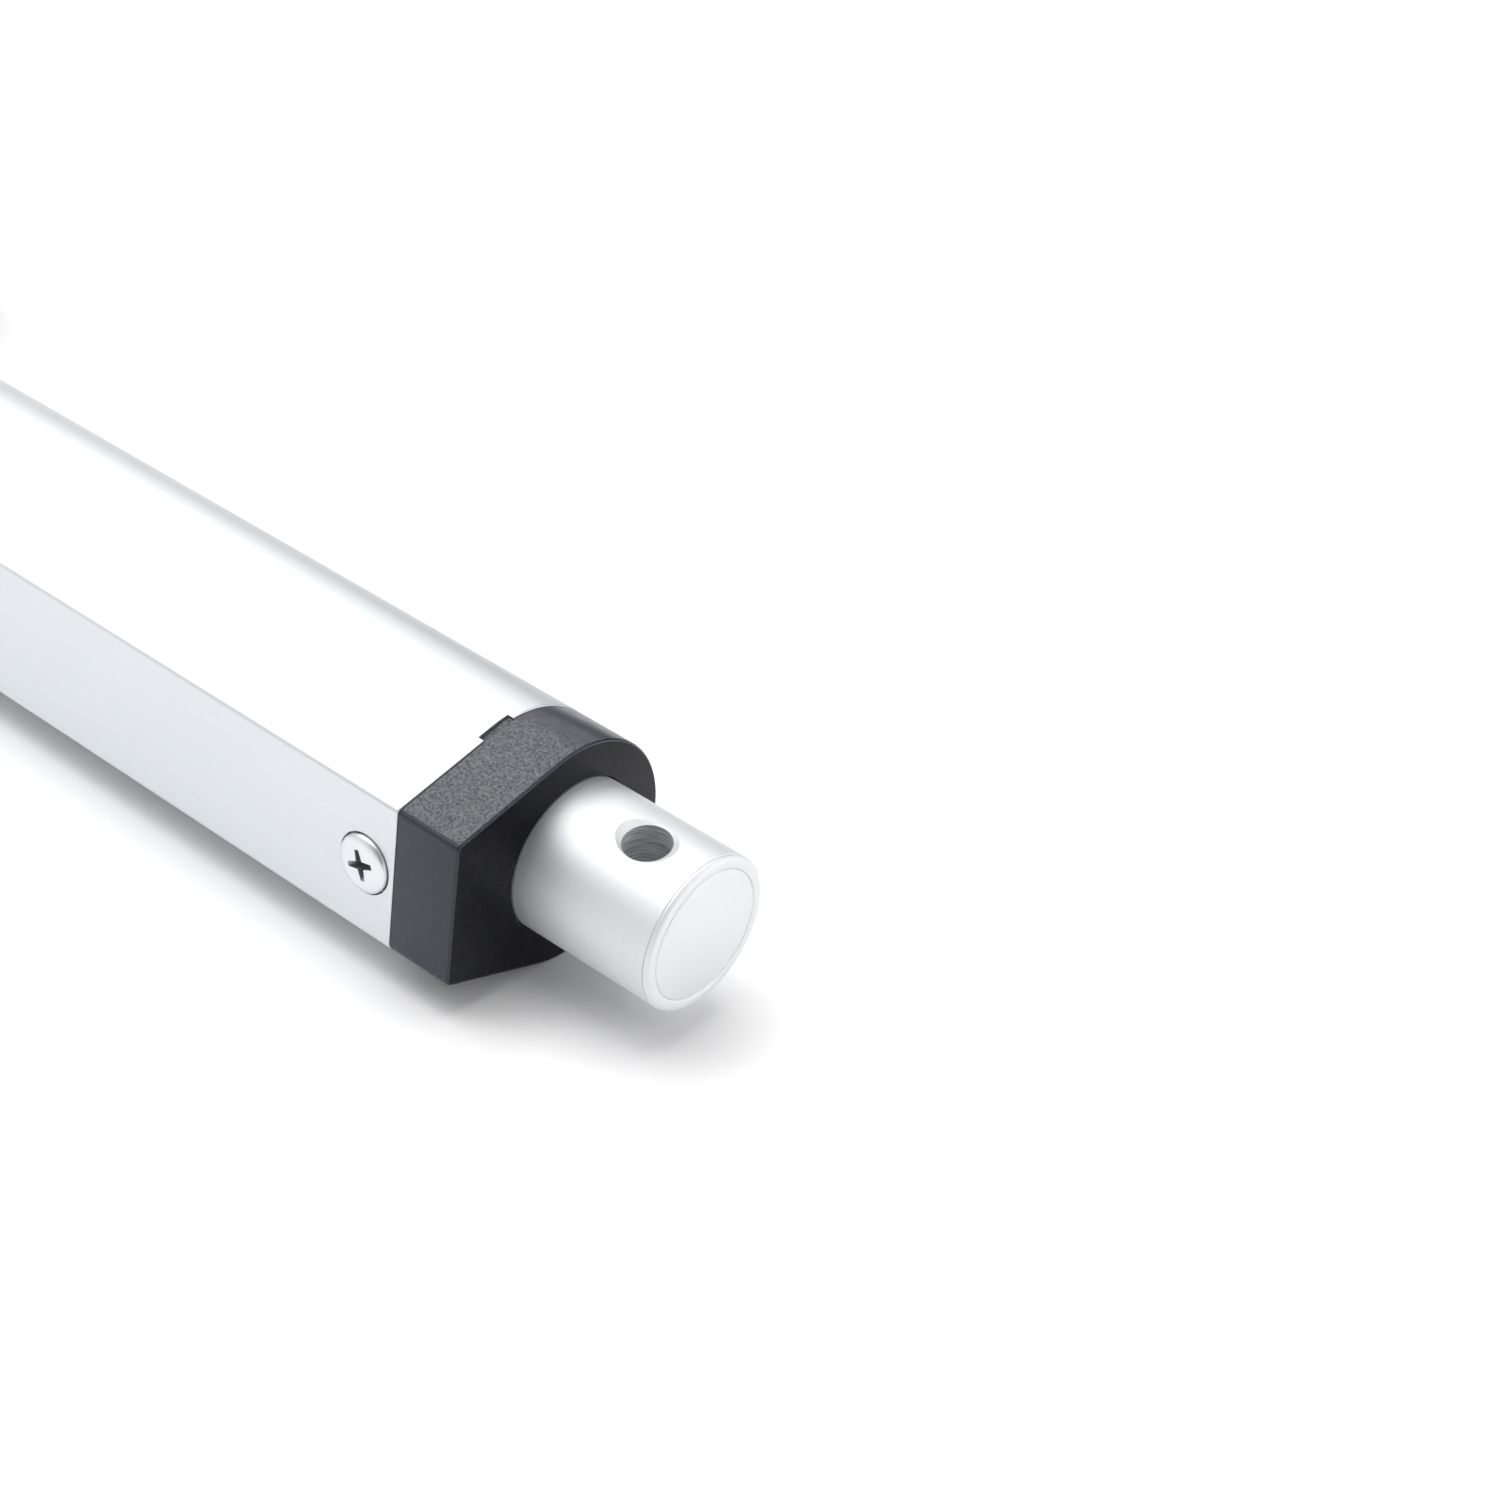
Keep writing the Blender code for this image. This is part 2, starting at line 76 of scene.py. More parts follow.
def local_box(node_name):
    """Lowest and highest corner of a CAD node, in millimetres from the rear pivot."""
    return [local(corner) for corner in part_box(node_name)]


def centre_of(node_name):
    """Centre of a CAD node across the rod axis."""
    low, high = local_box(node_name)
    return (low.y + high.y) / 2, (low.z + high.z) / 2


CAP_FRONT = local(cap_high).x
ROD_START = local(rod_low).x
ROD_TIP = local(rod_high).x
CAP_THICK = 9.5
CAP_BACK = CAP_FRONT - CAP_THICK
TUBE_START, TUBE_END = (corner.x for corner in local_box("outer_tube"))
SCREW_X = sum(corner.x for corner in local_box("cap_screw_flat_side")) / 2
GASKET_GAP = 0.2
TUBE_GAP = 0.3
gasket_start, gasket_end = (corner.x for corner in local_box("gearbox_gasket"))
REAR_END = gasket_start - GASKET_GAP
ADAPTER_START = gasket_end + GASKET_GAP
ADAPTER_END = TUBE_START - TUBE_GAP
MOTOR_AT = centre_of("motor_cover")
MOTOR_PLACE = (0.0, *MOTOR_AT)

# ---- sizes that the CAD boxes do not give, as in part.py -------------------------------------
R_TUBE = 14.9
FLAT_Y = 19.8
FLAT_HALF = 9.75
R_BORE = 13.2
CHANNEL_Y = 17.8
CHANNEL_HALF = 7.0
TAB_ANGLE = 105.7
TAB_LENGTH = 0.75
TAB_HALF = 2.35
TAB_LOW = 12.4
TAB_TOP = 14.45
NOTCH_LOW, NOTCH_TOP = 12.0, 16.0
NOTCH_SIDE_GAP = 0.12
NOTCH_END_GAP = 0.15
R_ROD = 10.0
R_SEAM = 8.42
PIN_X = 305.0
R_PIN = 3.0
ROD_ROLL = 12.27
PIN_PLACE = (PIN_X, 0.0, 0.0)
CAP_SCREW_PLACE = (SCREW_X, 0.0, 0.0)
# Angle round the axis at which the straight flanks leave the arc.
TANGENT = (
    math.pi
    - math.atan2(FLAT_HALF, FLAT_Y)
    - math.acos(R_TUBE / math.hypot(FLAT_Y, FLAT_HALF))
)


# ---- materials -------------------------------------------------------------------------------
# Sockets of the Mix node when it blends colours.
MIX_FACTOR, MIX_FIRST, MIX_SECOND, MIX_RESULT = 0, 6, 7, 2


class Shader:
    """A principled material with a short way to add and join nodes."""

    def __init__(self, name, colour, roughness, metallic=0.0):
        self.material = bpy.data.materials.new(name)
        self.material.use_nodes = True
        self.tree = self.material.node_tree
        self.main = self.tree.nodes["Principled BSDF"]
        self.main.inputs["Base Color"].default_value = (*colour, 1.0)
        self.main.inputs["Roughness"].default_value = roughness
        self.main.inputs["Metallic"].default_value = metallic

    def add(self, kind, **settings):
        node = self.tree.nodes.new(kind)
        for key, value in settings.items():
            setattr(node, key, value)
        return node

    def link(self, out, into):
        self.tree.links.new(out, into)

    def coords(self, scale):
        """Object coordinates in metres, times a scale along X, Y and Z."""
        source = self.add("ShaderNodeTexCoord")
        mapping = self.add("ShaderNodeMapping")
        mapping.inputs["Scale"].default_value = scale
        self.link(source.outputs["Object"], mapping.inputs["Vector"])
        return mapping.outputs["Vector"]

    def noise(self, scale, detail=2.0, rough=0.5, distortion=0.0):
        node = self.add("ShaderNodeTexNoise")
        node.inputs["Scale"].default_value = 1.0
        node.inputs["Detail"].default_value = detail
        node.inputs["Roughness"].default_value = rough
        node.inputs["Distortion"].default_value = distortion
        self.link(self.coords(scale), node.inputs["Vector"])
        return node.outputs["Fac"]

    def cells(self, scale):
        node = self.add("ShaderNodeTexVoronoi")
        node.inputs["Scale"].default_value = 1.0
        self.link(self.coords(scale), node.inputs["Vector"])
        return node.outputs["Distance"]

    def spread(self, fac, low, high, start=0.3, end=0.7):
        """Stretches start..end of a factor over low..high, and clamps outside it."""
        node = self.add("ShaderNodeMapRange")
        node.inputs["From Min"].default_value = start
        node.inputs["From Max"].default_value = end
        node.inputs["To Min"].default_value = low
        node.inputs["To Max"].default_value = high
        self.link(fac, node.inputs["Value"])
        return node.outputs["Result"]

    def mix(self, fac, first, second):
        """Blends two colours, each a tuple or the output of another node."""
        node = self.add("ShaderNodeMix", data_type="RGBA")
        self.link(fac, node.inputs[MIX_FACTOR])
        for socket, value in ((MIX_FIRST, first), (MIX_SECOND, second)):
            if isinstance(value, tuple):
                node.inputs[socket].default_value = (*value, 1.0)
            else:
                self.link(value, node.inputs[socket])
        return node.outputs[MIX_RESULT]

    def colour(self, fac, first, second):
        self.link(self.mix(fac, first, second), self.main.inputs["Base Color"])

    def rough(self, fac, low, high, start=0.3, end=0.7):
        self.link(self.spread(fac, low, high, start, end), self.main.inputs["Roughness"])

    def calc(self, operation, first, second=0.0):
        node = self.add("ShaderNodeMath", operation=operation)
        for slot, value in enumerate((first, second)):
            if isinstance(value, float):
                node.inputs[slot].default_value = value
            else:
                self.link(value, node.inputs[slot])
        return node.outputs[0]

    def bumps(self, *layers):
        """Each layer is (height, strength, depth in metres)."""
        normal = None
        for height, strength, depth in layers:
            bump = self.add("ShaderNodeBump")
            bump.inputs["Strength"].default_value = strength
            bump.inputs["Distance"].default_value = depth
            self.link(height, bump.inputs["Height"])
            if normal:
                self.link(normal, bump.inputs["Normal"])
            normal = bump.outputs["Normal"]
        self.link(normal, self.main.inputs["Normal"])


def shade(colour, factor):
    """A colour made lighter or darker."""
    return tuple(min(1.0, c * factor) for c in colour)


def drawn_metal(name, colour, roughness, metallic, lines, depth, spread):
    """Metal with fine lines; lines is the noise scale along X, Y and Z."""
    s = Shader(name, colour, roughness, metallic)
    fine = s.noise(lines, 3.0, 0.6)
    broad = s.noise((35.0, 60.0, 60.0), 2.0)
    s.colour(broad, shade(colour, 1 - spread), shade(colour, 1 + spread))
    s.rough(fine, roughness - 0.05, roughness + 0.06)
    s.bumps((fine, 0.25, depth))
    return s.material


def grained_plastic(name, colour, roughness, grain=2600.0, depth=0.00004, strength=0.5):
    """Moulded or pressed material with a fine all-over grain."""
    s = Shader(name, colour, roughness)
    grit = s.noise((grain, grain, grain), 2.5, 0.65)
    pits = s.noise((grain * 2.4,) * 3, 1.0)
    broad = s.noise((90.0, 90.0, 90.0), 3.0)
    s.colour(broad, shade(colour, 0.85), shade(colour, 1.2))
    s.rough(grit, roughness - 0.07, roughness + 0.08)
    s.bumps((grit, strength, depth), (pits, strength * 0.5, depth * 0.5))
    return s.material


# Flank grain colours, far lighter than the nylon: the grain is real, its lightness is painted
# sheen.
GRAIN_SHEEN_DARK = (0.04, 0.042, 0.052)
GRAIN_SHEEN_LIGHT = (0.15, 0.153, 0.172)


def moulded_cap(name, colour):
    """Nylon with a leather grain on the flanks, fading to a smooth skin elsewhere. The flank grain
    is coloured much lighter than the nylon, as painted sheen of the light on the flanks.
    """
    s = Shader(name, colour, 0.3)
    normal = s.add("ShaderNodeTexCoord").outputs["Normal"]
    parts = s.add("ShaderNodeSeparateXYZ")
    s.link(normal, parts.inputs["Vector"])
    # 1 where a face looks straight out of either flank, which is at TANGENT round the axis.
    upright = s.calc("ABSOLUTE", parts.outputs["Z"])
    facing = s.calc(
        "ADD",
        s.calc("MULTIPLY", upright, math.sin(TANGENT)),
        s.calc("MULTIPLY", parts.outputs["Y"], math.cos(TANGENT)),
    )
    mask = s.spread(facing, 0.0, 1.0, 0.93, 0.985)
    grit = s.noise((3000.0, 3000.0, 3000.0), 1.5, 0.5)
    worm = s.noise((1500.0, 1500.0, 1500.0), 2.0, 0.5, 1.2)
    skin = s.noise((700.0, 700.0, 700.0), 3.0, 0.55)
    broad = s.noise((110.0, 110.0, 110.0), 3.0)
    plain = s.mix(broad, shade(colour, 0.85), shade(colour, 1.2))
    # The speckle follows the real grain; its light colours on the flanks are painted sheen.
    grain_and_sheen = s.mix(s.spread(grit, 0.0, 1.0, 0.32, 0.68), GRAIN_SHEEN_DARK, GRAIN_SHEEN_LIGHT)
    s.colour(mask, plain, grain_and_sheen)
    rougher = s.calc("MULTIPLY", mask, 0.1)
    s.link(s.calc("ADD", rougher, s.spread(skin, 0.25, 0.33)), s.main.inputs["Roughness"])
    s.bumps(
        (s.calc("MULTIPLY", s.spread(grit, 0.0, 1.0, 0.25, 0.75), mask), 1.0, 0.00012),
        (s.calc("MULTIPLY", s.spread(worm, 0.0, 1.0, 0.3, 0.7), mask), 0.8, 0.00008),
        (skin, 0.3, 0.00001),
    )
    s.main.inputs["Specular IOR Level"].default_value = 0.38
    return s.material


def bored_metal(name, colour):
    """A drilled wall with faint tool marks along its depth."""
    s = Shader(name, colour, 0.45, 0.35)
    marks = s.noise((300.0, 300.0, 4200.0), 2.0, 0.6)
    s.colour(s.spread(marks, 0.0, 1.0, 0.35, 0.65), shade(colour, 0.6), shade(colour, 1.1))
    s.rough(marks, 0.35, 0.55)
    s.bumps((marks, 0.5, 0.00005))
    return s.material


def cast_metal(name, colour, roughness):
    """Powder-coated casting with an orange-peel surface."""
    s = Shader(name, colour, roughness, 0.0)
    orange = s.noise((900.0, 900.0, 900.0), 3.0, 0.55)
    sand = s.noise((3200.0, 3200.0, 3200.0), 2.0, 0.5)
    broad = s.noise((60.0, 60.0, 60.0), 3.0)
    s.colour(broad, shade(colour, 0.85), shade(colour, 1.2))
    s.rough(orange, roughness - 0.08, roughness + 0.08)
    s.bumps((orange, 0.35, 0.00006), (sand, 0.3, 0.00002))
    s.main.inputs["Coat Weight"].default_value = 0.12
    s.main.inputs["Coat Roughness"].default_value = 0.35
    return s.material


def worn_steel(name, colour, roughness, lines=(2500.0, 300.0, 300.0)):
    """Bare or plated metal with shallow machining lines."""
    return drawn_metal(name, colour, roughness, 1.0, lines, 0.000006, 0.08)


def soft_rubber(name, colour):
    """Matt rubber with a little dust."""
    s = Shader(name, colour, 0.72)
    skin = s.noise((1500.0, 1500.0, 1500.0), 3.0, 0.6)
    dust = s.noise((200.0, 200.0, 200.0), 4.0, 0.6)
    s.colour(dust, shade(colour, 0.8), shade(colour, 2.2))
    s.rough(skin, 0.62, 0.82)
    s.bumps((skin, 0.3, 0.00003))
    return s.material


def porous_bronze(name, colour):
    """Sintered bronze with fine pores."""
    s = Shader(name, colour, 0.5, 0.9)
    pores = s.cells((3500.0, 3500.0, 3500.0))
    stain = s.noise((400.0, 400.0, 400.0), 4.0)
    s.colour(stain, shade(colour, 0.7), shade(colour, 1.2))
    s.rough(pores, 0.35, 0.65, 0.0, 0.6)
    s.bumps((pores, 0.5, 0.00003))
    return s.material


def printed_board(name):
    """Green circuit board with faint tracks under the varnish."""
    s = Shader(name, (0.02, 0.14, 0.06), 0.35)
    weave = s.noise((4000.0, 4000.0, 4000.0), 1.0)
    tracks = s.noise((60.0, 900.0, 900.0), 0.0)
    s.colour(s.spread(tracks, 0, 1, 0.48, 0.52), (0.015, 0.11, 0.05), (0.03, 0.2, 0.08))
    s.rough(weave, 0.3, 0.42)
    s.bumps((weave, 0.2, 0.00001))
    return s.material


# Noise scales for lines that run along the axis, or round it.
ALONG = (45.0, 2600.0, 2600.0)
AROUND = (2600.0, 45.0, 45.0)
LOOKS = {
    "anodised": drawn_metal(
        "satin_anodised", (0.692, 0.72, 0.742), 0.46, 0.9, ALONG, 0.000008, 0.015
    ),
    "rod_metal": drawn_metal(
        "turned_rod", (0.735, 0.741, 0.758), 0.56, 0.85, AROUND, 0.000008, 0.02
    ),
    "black_plastic": grained_plastic("grained_nylon", (0.022, 0.022, 0.026), 0.42),
    "bronze": porous_bronze("sintered_bronze", (0.42, 0.29, 0.16)),
    "rubber": soft_rubber("seal_rubber", (0.012, 0.012, 0.013)),
    "steel": worn_steel("machined_steel", (0.55, 0.56, 0.58), 0.28),
    "zinc_steel": worn_steel("zinc_plate", (0.74, 0.755, 0.78), 0.4, (900.0, 900.0, 900.0)),
    "acetal": grained_plastic("white_acetal", (0.78, 0.78, 0.74), 0.4, 1200.0, 0.00001, 0.2),
    "casting": cast_metal("black_powder_coat", (0.03, 0.031, 0.035), 0.42),
    "ferrite": grained_plastic("sintered_ferrite", (0.06, 0.058, 0.06), 0.75, 1800.0),
    "copper": worn_steel("turned_copper", (0.72, 0.36, 0.22), 0.3),
    "carbon": grained_plastic("pressed_carbon", (0.03, 0.03, 0.03), 0.6, 2200.0),
    "board": printed_board("circuit_board"),
    "gasket": grained_plastic("fibre_gasket", (0.06, 0.065, 0.065), 0.85, 900.0, 0.00008),
}
# Cap sides: real grain, with painted sheen on the flanks.
CAP_GRAIN_AND_SHEEN = moulded_cap("grained_cap_painted_sheen", (0.019, 0.021, 0.033))
# Cap front face: smoother than the flanks, and coloured darker with a weaker reflection as painted
# shade.
SHADED_CAP_FACE = grained_plastic(
    "smooth_cap_face_painted_shade", (0.001, 0.0012, 0.004), 0.24, 700.0, 0.000004, 0.2
)
SHADED_CAP_FACE.node_tree.nodes["Principled BSDF"].inputs["Specular IOR Level"].default_value = 0.15
BORE_SKIN = bored_metal("drilled_wall", (0.74, 0.745, 0.76))
# Darker steel for the inside of the cross recesses: painted shade.
RECESS_PAINTED_SHADE = worn_steel("recess_shadow", (0.4, 0.41, 0.43), 0.5)
SLOT_OF = {row["node"]: row["material_slot"] for row in frame["record"]["subparts"]}
for node_name, node in nodes.items():
    node.data.materials.clear()
    node.data.materials.append(LOOKS[SLOT_OF[node_name]])


# ---- mesh helpers ----------------------------------------------------------------------------
def to_space(axis, u, v, w):
    """A point at w along the axis, with u and v across it."""
    if axis == "X":
        return (w, u, v)
    if axis == "Y":
        return (u, w, v)
    return (u, v, w)


def loft(sections, holes=(), axis="X"):
    """A closed solid through sections (w, loop); straight holes run end to end."""
    bm = bmesh.new()

    def ring(loop, w):
        return [bm.verts.new(to_space(axis, u, v, w)) for u, v in loop]

    outer = [ring(loop, w) for w, loop in sections]
    inner = [[ring(hole, w) for hole in holes] for w in (sections[0][0], sections[-1][0])]

    def walls(first, second):
        count = len(first)
        for i in range(count):
            j = (i + 1) % count
            bm.faces.new((first[i], first[j], second[j], second[i]))

    for first, second in zip(outer, outer[1:]):
        walls(first, second)
    for first, second in zip(inner[0], inner[1]):
        walls(second, first)
    for rings in ([outer[0]] + inner[0], [outer[-1]] + inner[1]):
        if len(rings) == 1:
            bm.faces.new(rings[0])
            continue
        flat = [vert for loop in rings for vert in loop]
        loops = [[vert.co.copy() for vert in loop] for loop in rings]
        for corners in tessellate_polygon(loops):
            bm.faces.new([flat[i] for i in corners])
    return bm


def turned(chain, count=96, ring=False, axis="X"):
    """Revolves (w, r) points round an axis.

    r may be a function of the angle. A ring is a closed chain with its own bore.
    """
    bm = bmesh.new()
    turns = [2 * math.pi * i / count for i in range(count)]
    rings = []
    for w, r in chain:
        made = []
        for a in turns:
            q = r(a) if callable(r) else r
            made.append(bm.verts.new(to_space(axis, q * math.cos(a), q * math.sin(a), w)))
        rings.append(made)
    pairs = list(zip(rings, rings[1:]))
    if ring:
        pairs.append((rings[-1], rings[0]))
    for first, second in pairs:
        for i in range(count):
            j = (i + 1) % count
            bm.faces.new((first[i], first[j], second[j], second[i]))
    if not ring:
        bm.faces.new(rings[0])
        bm.faces.new(rings[-1])
    return bm


def rounded(points, radius, steps):
    """Rounds the corners between the two ends of a chain of (w, r) points."""
    made = [points[0]]
    for previous, p, following in zip(points, points[1:], points[2:]):
        here = Vector(p)
        before = Vector(previous) - here
        after = Vector(following) - here
        angle = before.angle(after)
        if angle > math.radians(170):
            made.append(p)
            continue
        back = min(radius / math.tan(angle / 2), before.length * 0.45, after.length * 0.45)
        soft = back * math.tan(angle / 2)
        middle = (before.normalized() + after.normalized()).normalized()
        centre = here + middle * (soft / math.sin(angle / 2))
        first = here + before.normalized() * back - centre
        last = here + after.normalized() * back - centre
        sweep = first.angle_signed(last)
        for k in range(steps + 1):
            turned_by = Matrix.Rotation(-sweep * k / steps, 2)
            made.append(tuple(centre + turned_by @ first))
    return made + [points[-1]]


def circle_loop(centre, r, count):
    steps = [2 * math.pi * i / count for i in range(count)]
    return [(centre[0] + r * math.cos(a), centre[1] + r * math.sin(a)) for a in steps]


def arc(r, end, steps):
    """Points round the axis from -end to end, in radians."""
    turns = [-end + 2 * end * i / steps for i in range(steps + 1)]
    return [(r * math.cos(a), r * math.sin(a)) for a in turns]


def teardrop(inset, corner=0.9, corner_steps=7):
    """Outline of the extrusion, anticlockwise."""
    r = R_TUBE - inset
    flat = FLAT_Y - inset
    half = (r + flat * math.cos(TANGENT)) / math.sin(TANGENT)
    soft = max(corner - inset, 0.05)
    turn = math.pi - TANGENT
    cy = -flat + soft
    cz = half - soft * math.tan(turn / 2)
    upper = []
    for i in range(corner_steps + 1):
        a = TANGENT + turn * i / corner_steps
        upper.append((cy + soft * math.cos(a), cz + soft * math.sin(a)))
    return arc(r, TANGENT, 120) + upper + [(u, -v) for u, v in reversed(upper)]


def keyhole(r, flat, half):
    """Outline of the bore and its channel, anticlockwise."""
    return arc(r, math.pi - math.asin(half / r), 72) + [(-flat, half), (-flat, -half)]


def edge_sections(w0, w1, fillet0, fillet1, outline, steps=4):
    """Sections with a rounded edge at each end; outline(inset) gives a loop."""
    quarter = [math.pi / 2 * k / steps for k in range(steps + 1)]
    made = []
    for w, fillet, way, turns in ((w0, fillet0, 1, quarter), (w1, fillet1, -1, quarter[::-1])):
        for a in turns:
            made.append((w + way * fillet * (1 - math.cos(a)), outline(fillet * (1 - math.sin(a)))))
    return made


def place(bm, centre=(0.0, 0.0, 0.0), roll=0.0):
    """Millimetres from the pivot to the row frame."""
    bmesh.ops.remove_doubles(bm, verts=bm.verts, dist=1e-5)
    bmesh.ops.recalc_face_normals(bm, faces=bm.faces)
    bmesh.ops.transform(
        bm,
        matrix=Matrix.Translation(ORIGIN)
        @ Matrix.Scale(MM, 4)
        @ Matrix.Translation(centre)
        @ Matrix.Rotation(math.radians(roll), 4, "X"),
        verts=bm.verts,
    )
    return bm


def to_object(name, bm, material):
    mesh = bpy.data.meshes.new(name)
    bm.to_mesh(mesh)
    bm.free()
    if material:
        mesh.materials.append(material)
    made = bpy.data.objects.new(name, mesh)
    bpy.context.scene.collection.objects.link(made)
    return made


def shape_with(target, bm, operation="DIFFERENCE"):
    """Applies one exact Boolean with a temporary shape."""
    tool = to_object("tool", bm, None)
    step = target.modifiers.new("shape", "BOOLEAN")
    step.operation = operation
    step.solver = "EXACT"
    step.object = tool
    graph = bpy.context.evaluated_depsgraph_get()
    graph.update()
    made = bpy.data.meshes.new_from_object(target.evaluated_get(graph))
    target.modifiers.clear()
    old = target.data
    target.data = made
    bpy.data.meshes.remove(old)
    bpy.data.objects.remove(tool)


def dress(obj, body, replaced, sharp=32.0, bevel=None, segments=3):
    """Smooth shading with crisp edges, an optional soft bevel, and its place in the frame."""
    mesh = obj.data
    for polygon in mesh.polygons:
        polygon.use_smooth = True
    mesh.set_sharp_from_angle(angle=math.radians(sharp))
    if bevel:
        soften = obj.modifiers.new("soft_edges", "BEVEL")
        soften.width = bevel * MM
        soften.segments = segments
        soften.limit_method = "ANGLE"
        soften.angle_limit = math.radians(sharp)
        soften.harden_normals = True
        soften.use_clamp_overlap = True
    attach(obj, body)
    for node_name in replaced:
        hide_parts(node_name)
    return obj


def cylinder(w0, w1, r, count, axis="X"):
    """A plain round shape, used only as a Boolean tool."""
    return turned([(w0, r), (w1, r)], count, False, axis)


# ---- extrusion -------------------------------------------------------------------------------
def tab_shape(w0, w1, half, low, high):
    """A block at the end of the tube wall, where the flank meets the arc: the tab or its notch."""
    a = math.radians(TAB_ANGLE)
    along = (-math.sin(a), math.cos(a))
    out = (math.cos(a), math.sin(a))
    corners = []
    for side, deep in ((-half, low), (half, low), (half, high), (-half, high)):
        corners.append((along[0] * side + out[0] * deep, along[1] * side + out[1] * deep))
    return loft([(w0, corners), (w1, corners)])


SEAT_R, SEAT_DEEP = 4.0, 1.1
SCREW_HOLE_R, SCREW_HOLE_END = 1.55, -11.9
tube = to_object(
    "tube_extrusion",
    place(
        loft(
            edge_sections(TUBE_START, TUBE_END, 0.25, 0.22, teardrop),
            [keyhole(R_BORE, CHANNEL_Y, CHANNEL_HALF)[::-1]],
        )
    ),
    LOOKS["anodised"],
)
notch_start = TUBE_END - TAB_LENGTH - NOTCH_END_GAP
notch_half = TAB_HALF + NOTCH_SIDE_GAP
notch = tab_shape(notch_start, TUBE_END + 1, notch_half, NOTCH_LOW, NOTCH_TOP)
shape_with(tube, place(notch))
for turn, seat in ((0.0, FLAT_Y), (180.0, R_TUBE)):
    for end, r, count in (
        (-seat + SEAT_DEEP, SEAT_R, 96),
        (SCREW_HOLE_END, SCREW_HOLE_R, 32),
    ):
        shape_with(tube, place(cylinder(-seat - 1, end, r, count, "Y"), CAP_SCREW_PLACE, turn))
dress(tube, "housing", ["outer_tube"], 25.0)

# ---- cap -------------------------------------------------------------------------------------
SPIGOT_START = 271.0
SPIGOT = keyhole(12.9, 17.4, 6.6)
BUSH_BORE_R, BUSH_BORE_END = 11.7, 289.8
MOUTH_R = 10.12


def cap_outline(inset):
    """The extrusion's outline, 0.04 mm smaller all round."""
    return teardrop(inset + 0.04, 1.0, 9)


cap = to_object(
    "end_cap_moulding",
    place(loft(edge_sections(CAP_BACK, CAP_FRONT, 0.15, 0.4, cap_outline, 5))),
    CAP_GRAIN_AND_SHEEN,
)
shape_with(cap, place(loft([(SPIGOT_START, SPIGOT), (CAP_BACK + 2, SPIGOT)])), "UNION")
tab = tab_shape(TUBE_END - TAB_LENGTH, CAP_BACK + 2, TAB_HALF, TAB_LOW, TAB_TOP)
shape_with(cap, place(tab), "UNION")
shape_with(cap, place(cylinder(SPIGOT_START - 1, BUSH_BORE_END, BUSH_BORE_R, 96)))
mouth = [
    (BUSH_BORE_END - 0.8, MOUTH_R),
    (CAP_FRONT - 0.3, MOUTH_R),
    (CAP_FRONT - 0.1, MOUTH_R + 0.08),
    (CAP_FRONT + 0.5, MOUTH_R + 0.78),
]
shape_with(cap, place(turned(mouth, 128)))
# The flat front faces of the cap take the darker material: painted shade.
cap.data.materials.append(SHADED_CAP_FACE)
for polygon in cap.data.polygons:
    if polygon.normal.x > 0.95 and polygon.center.x > cap_high.x - 0.1 * MM:
        polygon.material_index = 1
dress(cap, "housing", ["front_cap"], 30.0)

# ---- rod and its end plug --------------------------------------------------------------------
# The barrel ends in a fine turned line, a soft chamfer and the seam round the plug.
rod_chain = [
    (ROD_START, R_SEAM),
    (ROD_START, R_ROD),
    (ROD_TIP - 0.76, R_ROD),
    (ROD_TIP - 0.7, R_ROD - 0.12),
    (ROD_TIP - 0.62, R_ROD - 0.12),
    (ROD_TIP - 0.56, R_ROD - 0.01),
    (ROD_TIP - 0.5, R_ROD),
    (ROD_TIP - 0.38, R_ROD - 0.03),
    (ROD_TIP - 0.06, R_ROD - 0.34),
    (ROD_TIP, R_ROD - 0.46),
    (ROD_TIP, R_SEAM + 0.14),
    (ROD_TIP - 0.03, R_SEAM + 0.08),
    (ROD_TIP - 0.13, R_SEAM),
]
# Countersunk pin hole: the cone starts at SINK_START and widens by SINK_SPREAD per millimetre.
SINK_SPREAD = 1.6
SINK_START = 9.35
PIN_REACH = 12.0
sink_edge = R_PIN + (PIN_REACH - SINK_START) * SINK_SPREAD
PIN_TOOL = [
    (-PIN_REACH, sink_edge),
    (-SINK_START, R_PIN),
    (SINK_START, R_PIN),
    (PIN_REACH, sink_edge),
]
PLUG_START = 295.0
R_PLUG = R_SEAM - 0.01


def bore_wall(piece):
    """Gives the drilled wall of the pin hole its own finish."""
    piece.data.materials.append(BORE_SKIN)
    axis_at = ORIGIN + Vector((PIN_X * MM, 0.0, 0.0))
    tilt = math.radians(ROD_ROLL)
    along = Vector((0.0, -math.sin(tilt), math.cos(tilt)))
    for polygon in piece.data.polygons:
        away = polygon.center - axis_at
        away -= along * away.dot(along)
        if away.length < (R_PIN + 0.02) * MM and abs(polygon.normal.dot(along)) < 0.1:
            polygon.material_index = 1


rod = to_object("rod_barrel", place(turned(rod_chain, 160, True)), LOOKS["rod_metal"])
shape_with(rod, place(turned(PIN_TOOL, 96, False, "Z"), PIN_PLACE, ROD_ROLL))
dress(rod, "rod", ["rod_tube"], 28.0)
bore_wall(rod)
plug_chain = [
    (PLUG_START, 8.0),
    (PLUG_START + 0.3, R_PLUG),
    (ROD_TIP - 0.15, R_PLUG),
    (ROD_TIP - 0.05, R_SEAM - 0.09),
    (ROD_TIP - 0.02, R_SEAM - 0.2),
]
plug = to_object("rod_plug_face", place(turned(plug_chain, 128)), LOOKS["rod_metal"])
shape_with(plug, place(cylinder(-PIN_REACH, PIN_REACH, R_PIN, 96, "Z"), PIN_PLACE, ROD_ROLL))
dress(plug, "rod", ["rod_end_plug"], 28.0)
bore_wall(plug)


